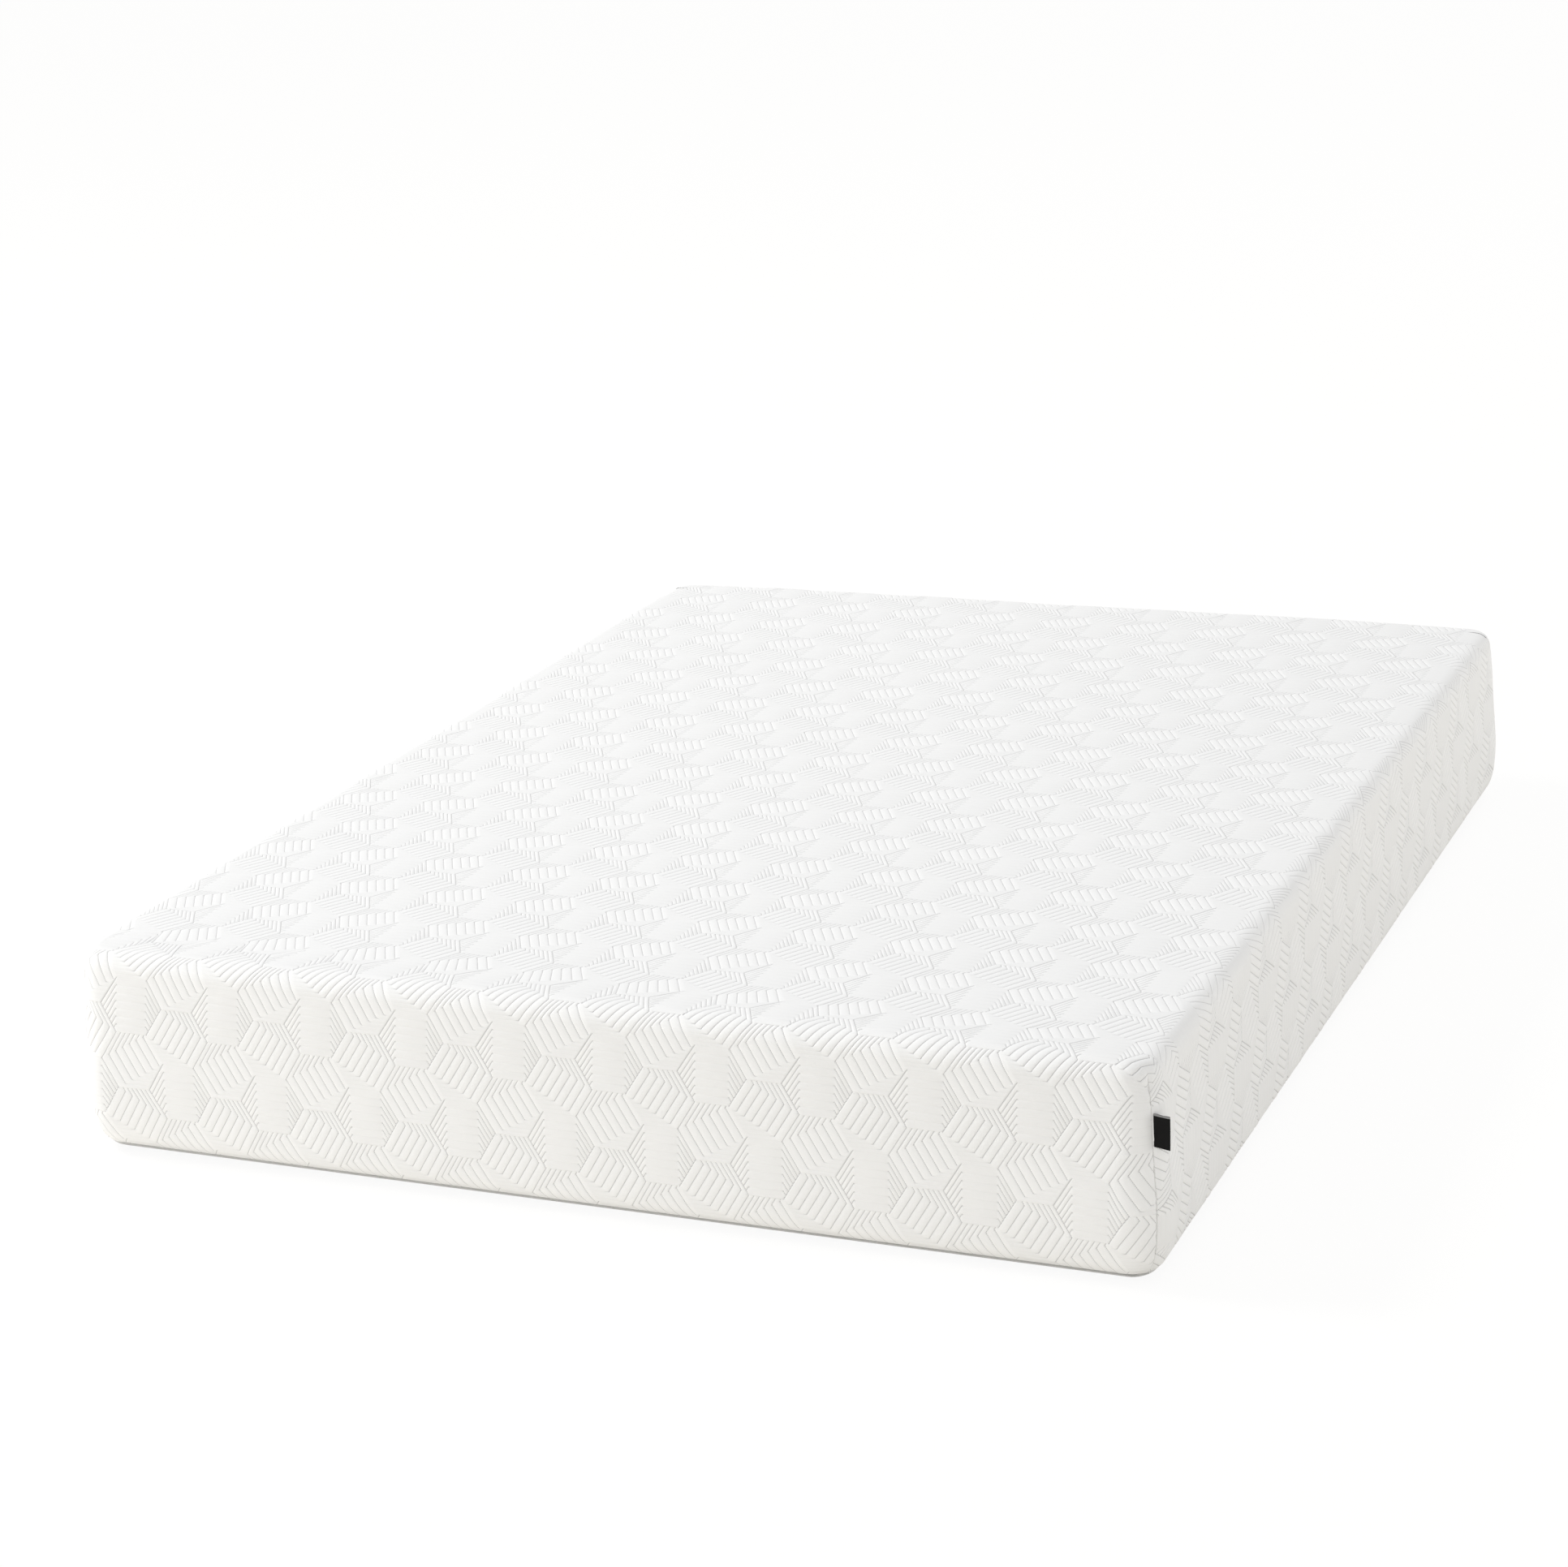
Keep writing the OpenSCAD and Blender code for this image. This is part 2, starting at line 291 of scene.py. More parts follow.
def knit_cell(knit):
    """One repeat of the knit as a flat mesh whose heights are the ribs' loft.

    The vertex layer 'groove' holds how deep in a groove a point lies, 'stitch'
    how much that groove is a line of stitches, and 'plain' where the knit is level."""
    height = knit.hexagon
    side = height / math.sqrt(3)
    cell_w, cell_h = math.sqrt(3) * height, 3 * height
    zones = groove_zones(knit, side)
    ways = [heading(angle) for angle in (30, 90, 150)]
    spots = {"rise": (0, 0), "fall": (0, height), "flat": (cell_w / 2, height / 2)}
    # the cell is cut where no rim runs along its ends
    start = height / 4
    bm = bmesh.new()
    key = bm.faces.layers.int.new("zone")
    hexagons = []
    for name, (x, y) in spots.items():
        for i in range(-2, 4):
            for j in range(-1, 3):
                centre = Vector((x + i * cell_w + j * cell_w / 2, y + j * 1.5 * height))
                if not (-side < centre.x < cell_w + side
                        and -side < centre.y - start < cell_h + side):
                    continue
                before = set(bm.faces)
                bmesh.ops.create_circle(
                    bm, cap_ends=True, radius=side, segments=6,
                    matrix=(Matrix.Translation(centre.to_3d())
                            @ Matrix.Rotation(math.radians(30), 4, "Z")))
                for face in set(bm.faces) - before:
                    face[key] = len(hexagons)
                hexagons.append((name, centre))
    bmesh.ops.remove_doubles(bm, verts=bm.verts, dist=WELD)

    def cut(faces, point, normal):
        edges = {e for f in faces for e in f.edges}
        return slice_mesh(bm, point.to_3d(), normal.to_3d(), list(faces) + list(edges))

    regions = []
    groups = grouped(bm, key)
    for number, (name, centre) in enumerate(hexagons):
        fold = zones[name][0]["turn"]
        faces = cut(groups[number], centre + fold * side / 2, fold)
        faces = cut(faces, centre - fold * side / 2, fold)
        for face in faces:
            offset = (face.calc_center_median().to_2d() - centre).dot(fold)
            part = 0 if abs(offset) < side / 2 else (1 if offset > 0 else -1)
            face[key] = len(regions)
            regions.append((next(z for z in zones[name] if z["fold"] == part), centre))
    groups = grouped(bm, key)
    lip = knit.groove / 2
    for number, (zone, centre) in enumerate(regions):
        faces = groups[number]
        flanks = [-FLANK_CUT * lip, FLANK_CUT * lip] if zone["wide"] else []
        for way in ways:
            for end in (-1, 1):
                for reach in LEVEL_RIM_CUTS if zone["level"] else RIM_CUTS:
                    faces = cut(faces, centre + end * way * (height / 2 - reach * lip), way)
        for fold in (zone["fold"],) if zone["fold"] else (-1, 1):
            place = fold * (side / 2 + (knit.bend if zone["fold"] else -knit.bend))
            faces = cut(faces, centre + zone["turn"] * place, zone["turn"])
        for k in range(-1, math.ceil(zone["count"]) + 1):
            for offset in [0, -lip, lip, zone["pitch"] / 2] + flanks:
                faces = cut(faces, centre + zone["start"] + zone["step"] * k
                            + zone["across"] * offset, zone["across"])
    for point, normal in (((0, 0), (-1, 0)), ((cell_w, 0), (1, 0)),
                          ((0, start), (0, -1)), ((0, start + cell_h), (0, 1))):
        slice_mesh(bm, (*point, 0), (*normal, 0), clear_outer=True)
    raise_ribs(bm, key, regions, knit.groove)
    return mesh_of(bm, "knit cell"), cell_w, cell_h


def laid_out(cell, cell_w, cell_h, knit, low, high):
    """The flat knit between two corners of a rectangle, with some to spare."""
    turn = Matrix.Rotation(knit.skew, 3, "Z")
    anchor = Vector((*knit.anchor, 0)) - turn @ Vector((0, knit.hexagon, 0))
    corners = [turn.inverted() @ (Vector((x, y, 0)) - anchor)
               for x in (low[0] - SPARE, high[0] + SPARE)
               for y in (low[1] - SPARE, high[1] + SPARE)]
    first = [math.floor(min(c[i] for c in corners) / (cell_w, cell_h)[i]) for i in (0, 1)]
    last = [math.ceil(max(c[i] for c in corners) / (cell_w, cell_h)[i]) for i in (0, 1)]
    obj = bpy.data.objects.new("laid out", cell.copy())
    bpy.context.scene.collection.objects.link(obj)
    repeat(obj, last[0] - first[0], (cell_w, 0, 0), merge=2 * WELD)
    repeat(obj, last[1] - first[1], (0, cell_h, 0), merge=2 * WELD)
    mesh = applied(obj)
    mesh.transform(Matrix.Translation((first[0] * cell_w, first[1] * cell_h, 0)))
    mesh.attributes.new("cloth", "FLOAT_VECTOR", "POINT")
    mesh.attributes["cloth"].data.foreach_set("vector", points_of(mesh).astype("f4").ravel())
    mesh.transform(Matrix.Translation(anchor) @ turn.to_4x4())
    return mesh


# Easing of the knit at the foot: how far before the top's edge it starts, how soon the
# gather and the sideways pull are complete, and how far a row drops per metre across
EASE_START = 0.036
GATHER_REACH = 0.080
PULL_REACH = 0.065
ROW_DROP = 0.0181
# More cloth than a flap has
FAR_OUT = 0.5
# Lengths below a corner's top over which the seam shuts and the flap settles on the wall
SEAM_SHUTS = 0.012
FLAP_SETTLES = 0.070
SEAM_GAP = 0.00005
# The ribs fade out at the hem, at a seam and at a corner's top: plain margin, and length
HEM_FADE = (0.003, 0.007)
SEAM_FADE = (0.0015, 0.005)
APEX_FADE = (0.003, 0.013)
# The side flaps' ribs are pulled flatter just below the top edge
TAUT = 0.6
TAUT_END = 0.075
TAUT_FADE = 0.02


def eased_over_foot(flat, knit):
    """Takes up the cloth that is eased in and pulled sideways over the foot edge."""
    out = np.linspace(-EASE_START, FAR_OUT, 400)
    gather = knit.foot_gather * (1 - np.exp(-(out + EASE_START) / GATHER_REACH))
    cloth = -INNER_Y - flat[:, 1]
    held = 1 - np.exp(-np.maximum(cloth + EASE_START, 0) / PULL_REACH)
    eased = np.where(cloth > -EASE_START, np.interp(cloth, out + gather, out), cloth)
    flat[:, 0] += (knit.foot_stretch * flat[:, 0] - knit.foot_pull) * held
    flat[:, 1] = -INNER_Y - eased + ROW_DROP * flat[:, 0] * held
    return flat


def panel(mesh, low, high, lines):
    """Cuts a laid-out knit to a rectangle, and along lines given as (axis, place)."""
    bm = bmesh.new()
    bm.from_mesh(mesh)
    for axis in (0, 1):
        for place, way in ((low[axis], -1), (high[axis], 1)):
            slice_mesh(bm, on_axis(axis, place), on_axis(axis, way), clear_outer=True)
    for axis, place in lines:
        edges = [e for e in bm.edges
                 if (e.verts[0].co[axis] - place) * (e.verts[1].co[axis] - place) <= 0]
        faces = {f for e in edges for f in e.link_faces}
        slice_mesh(bm, on_axis(axis, place), on_axis(axis, 1), edges + list(faces))
    return bm


def cross_section(s):
    """Where the cloth lies at a distance s out from the corner centres' line.

    Gives the distance out, the height and the outward normal's two parts."""
    roll = np.clip((s - ROLL_START) / TOP_R, 0, math.pi / 2)
    under = np.clip((s - WALL_END) / BOTTOM_R, 0, HEM_ANGLE)
    curl = np.clip((s - HEM) / HEM_R, 0, math.pi)
    rho = np.minimum(s, ROLL_START) + TOP_R * np.sin(roll)
    z = HEIGHT - TOP_R * (1 - np.cos(roll)) - np.clip(s - WALL_START, 0, WALL_END - WALL_START)
    rho -= BOTTOM_R * (1 - np.cos(under))
    z -= BOTTOM_R * np.sin(under)
    angle = roll + under + curl - math.pi / 2
    out, up = np.cos(angle), -np.sin(angle)
    hem_out, hem_up = math.cos(HEM_ANGLE), -math.sin(HEM_ANGLE)
    rho += np.where(curl > 0, HEM_R * (out - hem_out), 0)
    z += np.where(curl > 0, HEM_R * (up - hem_up), 0)
    return rho, z, out, up


def folded_flap(along, out, reach, wrap, other, limit):
    """Folds a flap down its wall and round the corners up to the seams.

    along is signed, reach is half the straight run, wrap and other are the cloth
    that this flap and its neighbour wrap round a corner, and limit the angle of
    this flap's seam. Gives places and normals as (along, out, height) columns,
    and how much of the relief is left."""
    side = np.sign(along)
    round_corner = np.maximum(np.abs(along) - reach, 0)
    past = np.clip(round_corner - wrap + TUCK_R, 0, None)
    quarter = np.clip(past / TUCK_R, 0, math.pi / 2)
    shut = ramp(out, other, SEAM_SHUTS)
    shift = np.minimum(round_corner, wrap)
    tucked = np.where(past > 0, wrap - TUCK_R + TUCK_R * np.sin(quarter) - SEAM_GAP, shift)
    depth = TUCK_R * (1 - np.cos(quarter)) + np.clip(past - TUCK_R * math.pi / 2, 0, None)
    round_corner = shift + (tucked - shift) * shut
    depth = depth * shut

    polar = np.arctan2(round_corner / wrap * math.tan(limit), np.minimum(out / other, 1))
    below = ramp(out, other, FLAP_SETTLES)
    angle = polar + (round_corner / wrap * limit - polar) * below
    slack = np.hypot(round_corner, np.minimum(out, other)) - np.minimum(out, other)
    rho, z, n_out, n_up = cross_section(out + slack * (1 - below))
    rho = rho - depth * n_out
    z = z - depth * n_up
    place = np.stack([np.clip(along, -reach, reach) + side * rho * np.sin(angle),
                      rho * np.cos(angle), z], 1)
    normal = np.stack([side * n_out * np.sin(angle), n_out * np.cos(angle), n_up], 1)
    at_seam = ramp(wrap - round_corner, *SEAM_FADE)
    return place, normal, ramp(HEM - out, *HEM_FADE) * (1 - (1 - at_seam) * shut)


# How the filled cover stands off its plain shape: the walls' belly and how it ends above
# the floor; near a corner, the fullness low down, and how far the top sinks
BELLY = 0.0025
FLOOR_FADE = (0.012, 0.045)
CORNER_REACH = 0.10
FULL = 0.0075
FULL_HEIGHT = 0.09
FULL_REACH = 0.07
SUNK = 0.0032
SUNK_RISE = (0.21, 0.07)
# Long shallow waves of the cloth: height, radians per metre along x, y and z, and phase
WAVES = ((0.0005, (9, 7, 13), 0), (0.0004, (19, -15, 23), 1), (0.0002, (41, 33, -37), 2))


def stand_off(place):
    """How far the filled cover stands off its plain shape, along its normal.

    The walls belly out a little, most of all low down at the corners, the top
    corners sink, and the cloth has long shallow waves."""
    x, y, z = place.T
    corner = bell(np.hypot(HIGH[0] - np.abs(x), HIGH[1] - np.abs(y)), CORNER_REACH)
    belly = BELLY * np.sin(math.pi * np.clip(z / HEIGHT, 0, 1))
    full = FULL * corner * bell(z - FULL_HEIGHT, FULL_REACH)
    waves = sum(height * np.sin(a * x + b * y + c * z + phase)
                for height, (a, b, c), phase in WAVES)
    return ((belly + full + waves * (1 - corner)) * ramp(z, *FLOOR_FADE)
            - SUNK * corner * ramp(z, *SUNK_RISE))


# The dimple at the top of a corner seam: depth, distance under the top, reach, and how
# much taller than wide it is
DIMPLE = 0.0024
DIMPLE_BELOW = 0.031
DIMPLE_REACH = 0.0075
DIMPLE_TALL = 1.6
# The puckers along a seam: height, reach sideways, length, drift of that length, and the
# plain margin and fade at both ends
PUCKER = 0.0005
PUCKER_REACH = 0.008
PUCKER_LENGTH = 0.0021
PUCKER_DRIFT = 0.017
PUCKER_FADE = (0.02, 0.02)


def seam_puckers(place):
    """The dimple at the top of each corner seam, and the small puckers along it."""
    x, y, z = place.T
    dx = np.abs(x) - INNER_X - CORNER_R * math.cos(SEAM_ANGLE)
    dy = np.abs(y) - INNER_Y - CORNER_R * math.sin(SEAM_ANGLE)
    dz = (z - HEIGHT + DIMPLE_BELOW) / DIMPLE_TALL
    puckers = np.sin(z / PUCKER_LENGTH + 3 * np.sin(z / PUCKER_DRIFT))
    puckers *= ramp(z, *PUCKER_FADE) * ramp(HEIGHT - z, *PUCKER_FADE)
    return (PUCKER * np.exp(-np.hypot(dx, dy) / PUCKER_REACH) * puckers
            - DIMPLE * bell(np.sqrt(dx ** 2 + dy ** 2 + dz ** 2), DIMPLE_REACH))


def lay_panel(bm, kind, sign):
    """Bends a flat panel over the core; the relief stands up along the normals."""
    count = len(bm.verts)
    a, b, loft = np.array([v.co for v in bm.verts]).T
    apex = np.hypot(INNER_X + FLAP_WRAP - np.abs(a), INNER_Y + SIDE_WRAP - np.abs(b))
    if kind == "top":
        place = np.stack([a, b, np.full(count, HEIGHT)], 1)
        normal = np.tile([0.0, 0.0, 1.0], (count, 1))
        relief = np.ones(count)
    elif kind == "end":
        place, normal, relief = folded_flap(a, np.abs(b) - INNER_Y, INNER_X, FLAP_WRAP,
                                            SIDE_WRAP, math.pi / 2 - SEAM_ANGLE)
        place[:, 1] = sign * (INNER_Y + place[:, 1])
        normal[:, 1] *= sign
    else:
        out = np.abs(a) - INNER_X
        place, normal, relief = folded_flap(b, out, INNER_Y, SIDE_WRAP, FLAP_WRAP, SEAM_ANGLE)
        place = np.stack([sign * (INNER_X + place[:, 1]), place[:, 0], place[:, 2]], 1)
        normal = np.stack([sign * normal[:, 1], normal[:, 0], normal[:, 2]], 1)
        relief *= 1 - TAUT * ramp(out, 0, TAUT_FADE) * ramp(TAUT_END - out, 0, TAUT_FADE)
    relief = relief * ramp(apex, *APEX_FADE)
    place += normal * (stand_off(place) + seam_puckers(place) + loft * relief)[:, None]
    for vert, co in zip(bm.verts, place):
        vert.co = co


def spread(start, end, count):
    """Evenly spread places between two ends, without the ends."""
    return list(np.linspace(start, end, count + 2)[1:-1])


def flap_cuts():
    """The four flaps: kind, side of the bed, the flat piece's two corners, and its cuts."""
    roll = [ROLL_START] + spread(ROLL_START, WALL_START, 7) + [WALL_START]
    hem = [WALL_END] + spread(WALL_END, HEM, 5) + [HEM] + spread(HEM, CLOTH_END, 3)
    # the cloth bends sideways from a corner's centre on, so there are cuts there too
    edge = [0.006, 0.012] + roll
    tuck = [-TUCK_R, -TUCK_R / 2, 0, 0.6 * TUCK_R]
    inner = (INNER_X, INNER_Y)
    for kind, along, wrap, other in (("end", 0, FLAP_WRAP, SIDE_WRAP),
                                     ("side", 1, SIDE_WRAP, FLAP_WRAP)):
        out = 1 - along
        corner = [0] + [s for s in edge if s < wrap - TUCK_R] + [wrap + t for t in tuck]
        reach = inner[along] + wrap + TUCK
        for sign in (-1, 1):
            lines = [(out, sign * (inner[out] + s)) for s in edge + hem]
            lines += [(along, way * (inner[along] + s)) for way in (-1, 1) for s in corner]
            lines += [(out, sign * (inner[out] + other))]
            near, far = sorted((sign * inner[out], sign * (inner[out] + CLOTH_END)))
            order = 1 if along == 0 else -1
            yield kind, sign, (-reach, near)[::order], (reach, far)[::order], lines


def in_notch(kind, x, y):
    """Whether a spot on a flat flap is in the notch that is cut out beyond a corner."""
    past_x, past_y = abs(x) - INNER_X, abs(y) - INNER_Y
    if kind == "end":
        return past_x > FLAP_WRAP and past_y < SIDE_WRAP
    return kind == "side" and past_x < FLAP_WRAP and past_y > 0


def make_cover(knit, material):
    """The knit's top and four flaps, cut flat, bent over the core and sewn together."""
    cell, cell_w, cell_h = knit_cell(knit)
    top = ("top", 1, (-INNER_X, -INNER_Y), (INNER_X, INNER_Y), [])
    merged = bmesh.new()
    for kind, sign, low, high, lines in (top, *flap_cuts()):
        mesh = laid_out(cell, cell_w, cell_h, knit, low, high)
        mesh.vertices.foreach_set("co", eased_over_foot(points_of(mesh), knit).ravel())
        bm = panel(mesh, low, high, lines)
        waste = [f for f in bm.faces if in_notch(kind, *f.calc_center_median().xy)]
        bmesh.ops.delete(bm, geom=waste, context="FACES")
        lay_panel(bm, kind, sign)
        merged.from_mesh(mesh_of(bm, "panel"))
    bmesh.ops.remove_doubles(merged, verts=merged.verts, dist=SEW)
    bmesh.ops.dissolve_degenerate(merged, dist=WELD, edges=merged.edges)
    return object_from(merged, "quilted_cover", material)


# ---------------------------------------------------------------- other pieces


def rim_chain(bm, profile):
    """A chain of edges from (out, height) pairs, at the start of the head's right corner."""
    verts = [bm.verts.new((INNER_X + out, INNER_Y, z)) for out, z in profile]
    return [bm.edges.new(pair) for pair in zip(verts, verts[1:])]


def swept_rim(bm, edges, corner_steps, runs):
    """Sweeps a chain of edges round the mattress: a spun corner, then a straight run."""
    for number, corner in enumerate(CORNERS):
        ends = list({v for e in edges for v in e.verts})
        turned = bmesh.ops.spin(bm, geom=edges + ends, cent=(*corner, 0), axis=(0, 0, 1),
                                dvec=(0, 0, 0), angle=math.pi / 2, steps=corner_steps)
        edges = [g for g in turned["geom_last"] if isinstance(g, bmesh.types.BMEdge)]
        count = runs[number % 2]
        step = (Vector(CORNERS[(number + 1) % 4]) - Vector(corner)).to_3d() / count
        for _ in range(count):
            _, edges = grow(bm, edges, step)


def base_profile():
    """The base cloth from a corner's centre out to its turned edge at the zip."""
    lip = ZIP_ANGLE - LIP_ANGLE
    points = [(0.0, 0.0), (BOTTOM_CENTRE, 0.0)]
    for angle in np.linspace(0, lip, 6)[1:]:
        points.append((BOTTOM_CENTRE + BOTTOM_R * math.sin(angle),
                       BOTTOM_R * (1 - math.cos(angle))))
    radius = BOTTOM_R - HEM_R
    for curl in np.linspace(0, math.pi, 5)[1:]:
        points.append((BOTTOM_CENTRE + radius * math.sin(lip) + HEM_R * math.sin(lip + curl),
                       BOTTOM_R - radius * math.cos(lip) - HEM_R * math.cos(lip + curl)))
    return points


def make_base_cloth(material):
    """The plain cloth underneath, turned up all round to the zip."""
    runs = (24, 32)
    bm = bmesh.new()
    swept_rim(bm, rim_chain(bm, base_profile()), 8, runs)
    bmesh.ops.create_grid(bm, x_segments=runs[0], y_segments=runs[1], size=1,
                          matrix=Matrix.Diagonal((INNER_X, INNER_Y, 1, 1)))
    bmesh.ops.remove_doubles(bm, verts=bm.verts, dist=1e-5)
    bmesh.ops.recalc_face_normals(bm, faces=bm.faces)
    if sum(f.normal.z * f.calc_area() for f in bm.faces) > 0:
        bmesh.ops.reverse_faces(bm, faces=bm.faces)
    return object_from(bm, "base_cloth", material)


def make_stitches(seam, material):
    """Slanted stitches of thick thread that close each corner seam."""
    bottom = BOTTOM_R + seam.clear_below
    top = HEIGHT - TOP_R - seam.clear_above
    count = int((top - bottom) / seam.stitch)
    # a stitch is a little longer than its share, so that it meets the next
    shape = (Matrix.Rotation(math.radians(seam.slant), 4, "X")
             @ Matrix.Diagonal((seam.thread / 2, seam.thread / 2, seam.stitch * 0.56, 1)))
    bm = bmesh.new()
    for x, y in CORNERS:
        angle = math.atan2(math.copysign(math.sin(SEAM_ANGLE), y),
                           math.copysign(math.cos(SEAM_ANGLE), x))
        corner = Matrix.Translation((x, y, 0)) @ Matrix.Rotation(angle, 4, "Z")
        seam_line = corner @ Vector((CORNER_R, 0, 0))
        outward = corner.to_3x3() @ Vector((1, 0, 0))
        for i in range(count):
            z = bottom + (i + 0.5) * (top - bottom) / count
            place = corner @ Matrix.Translation((CORNER_R - seam.sunk, 0, z)) @ shape
            made = bmesh.ops.create_icosphere(bm, subdivisions=2, radius=1, matrix=place)
            for vert in made["verts"]:
                level = np.array([[seam_line.x, seam_line.y, vert.co.z]])
                vert.co += outward * float(stand_off(level)[0])
    return object_from(bm, "corner_stitches", material)


def make_label(label, material):
    """A woven ribbon folded in two, both ends caught in the foot's right seam."""
    low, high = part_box("label_tab")
    width, thickness, height = (top - bottom for bottom, top in zip(low, high))
    middle = (high[1] + low[1]) / 2
    centre = (low[2] + high[2]) / 2
    fold = (thickness - label.thickness) / 2
    reach = width - thickness / 2
    bm = bmesh.new()
    bmesh.ops.create_grid(bm, x_segments=40, y_segments=24, size=0.5)
    for vert in bm.verts:
        run = vert.co.x * 2 * (reach + fold * math.pi / 2)
        along = abs(run) - fold * math.pi / 2
        if along > 0:
            x, y = reach - along, math.copysign(fold, run)
        else:
            x, y = reach + fold * math.cos(run / fold), fold * math.sin(run / fold)
        free = max(x, 0) / width
        # the free edge bends over, most of all at its foot, and the two plies part a little
        sag = label.curl * free ** 2 * (0.35 + 1.3 * (0.5 - vert.co.y) ** 2)
        parted = label.buckle * math.sin(free * math.pi) * math.copysign(1, run)
        up = vert.co.y * height - (label.drop + label.droop * free)
        buckled = label.buckle * math.sin(9 * free) * (vert.co.y + 0.5)
        vert.co = (low[0] + x, middle + y - sag + parted, centre + up + buckled)
    bmesh.ops.recalc_face_normals(bm, faces=bm.faces)
    root = np.array([[low[0], middle, centre]])
    bmesh.ops.translate(bm, verts=bm.verts, vec=(float(stand_off(root)[0]), 0, 0))
    obj = object_from(bm, "woven_label", material)
    ply = obj.modifiers.new("ply", "SOLIDIFY")
    ply.thickness = label.thickness * 0.8
    ply.offset = 0
    selvedge = obj.modifiers.new("selvedge", "BEVEL")
    selvedge.width = label.thickness * 0.25
    selvedge.segments = 2
    return obj, (2 * reach + fold * math.pi, height)


# Ends of the coil: inside the slider's tail, and short of the bottom stop
COIL_START = 0.005
COIL_STOP = 0.0005
# Depth of the coil's seat under the edge's outline, height of one unit of a turn, and how
# far a turn reaches past the chain's middle
COIL_SEAT = 0.00161
TURN_HEIGHT = 0.0042
TURN_REACH = 0.0004


def coil_turn():
    """One turn of the coil as it shows on the tape: a low arched bar along Y.

    Along X it is measured in half pitches."""
    bm = bmesh.new()
    bmesh.ops.create_circle(bm, segments=8, radius=0.5,
                            matrix=Matrix.Rotation(math.pi / 2, 4, "X"))
    bmesh.ops.bisect_plane(bm, geom=bm.verts[:] + bm.edges[:], plane_co=(0, 0, -0.01),
                           plane_no=(0, 0, -1), clear_outer=True)
    bmesh.ops.scale(bm, verts=bm.verts, vec=(0.8, 1, 0.7))
    bmesh.ops.contextual_create(bm, geom=[e for e in bm.edges if e.is_boundary or e.is_wire])
    edges = bm.edges[:]
    for reach, size in ((0.15, 1.3), (0.70, 1.0), (0.15, 0.7)):
        verts, edges = grow(bm, edges, (0, -reach, 0))
        bmesh.ops.scale(bm, verts=verts, vec=(size, 1, size))
    bmesh.ops.contextual_create(bm, geom=edges)
    bmesh.ops.recalc_face_normals(bm, faces=bm.faces)
    return bm


def round_the_rim(run, out, height):
    """Bends a straight strip round the mattress: run starts at the head's left corner.

    The corners turn at the zip's own radius, and out is measured from there."""
    quarter = ZIP_R * math.pi / 2
    place = np.zeros((len(run), 3))
    begin = 0.0
    for length, *leg in ((2 * INNER_X, (-INNER_X, INNER_Y), (1, 0), (0, 1)),
                         (2 * INNER_Y, (INNER_X, INNER_Y), (0, -1), (1, 0)),
                         (2 * INNER_X, (INNER_X, -INNER_Y), (-1, 0), (0, -1)),
                         (2 * INNER_Y, (-INNER_X, -INNER_Y), (0, 1), (-1, 0))):
        start, way, outward = np.array(leg, float)
        on = (run >= begin) & (run < begin + length)
        place[on, :2] = (start + np.outer(run[on] - begin, way)
                         + np.outer(ZIP_R + out[on], outward))
        begin += length
        on = (run >= begin) & (run < begin + quarter)
        angle = (run[on] - begin) / ZIP_R
        spokes = np.outer(np.cos(angle), outward) + np.outer(np.sin(angle), way)
        place[on, :2] = start + way * length + spokes * (ZIP_R + out[on])[:, None]
        begin += quarter
    place[:, 2] = height
    return place


def make_coil(zipper, side, name, material):
    """Half of the zip's coil, on the knit's tape (side 1) or the base's (side -1)."""
    pitch = zipper.coil_pitch
    half = zipper.chain / 2
    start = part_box("zip_slider")[0][0] + COIL_START + INNER_X
    end = RIM_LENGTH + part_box("zip_bottom_stop")[0][0] - COIL_STOP + INNER_X
    strip = object_from(coil_turn(), "turn", material)
    repeat(strip, int((end - start) / pitch), (2, 0, 0))
    mesh = applied(strip)
    x, y, z = points_of(mesh).T
    # the knit's turns lie between the base's, half a pitch on
    run = start + x * pitch * 0.5 + (pitch / 2 if side > 0 else 0)
    radius = BOTTOM_R - COIL_SEAT + z * TURN_HEIGHT
    angle = ZIP_ANGLE + side * (half + y * (half + TURN_REACH)) / BOTTOM_R
    place = round_the_rim(np.mod(run, RIM_LENGTH), BOTTOM_CENTRE + radius * np.sin(angle) - ZIP_R,
                          BOTTOM_R - radius * np.cos(angle))
    mesh.vertices.foreach_set("co", place.ravel())
    bm = bmesh.new()
    bm.from_mesh(mesh)
    bpy.data.meshes.remove(mesh)
    bmesh.ops.recalc_face_normals(bm, faces=bm.faces)
    return object_from(bm, name + "_turns", material)


# ---------------------------------------------------------------- materials


class Value:
    """A shader socket that adds its Math nodes when it is used in an expression."""

    def __init__(self, nodes, socket):
        self.nodes = nodes
        self.socket = socket

    def maths(self, operation, *values):
        return self.nodes.node("ShaderNodeMath", {"operation": operation}, *values)

    def __add__(self, other):
        return self.maths("ADD", self, other)

    __radd__ = __add__

    def __sub__(self, other):
        return self.maths("SUBTRACT", self, other)

    def __rsub__(self, other):
        return self.maths("SUBTRACT", other, self)

    def __mul__(self, other):
        return self.maths("MULTIPLY", self, other)

    __rmul__ = __mul__

    def __gt__(self, other):
        return self.maths("GREATER_THAN", self, other)

    def absolute(self):
        return self.maths("ABSOLUTE", self)

    def wave(self, length, phase=0.0):
        """Runs smoothly from 0 to 1 and back once in each length."""
        return self.maths("SINE", self * (2 * math.pi / length) + phase) * 0.5 + 0.5


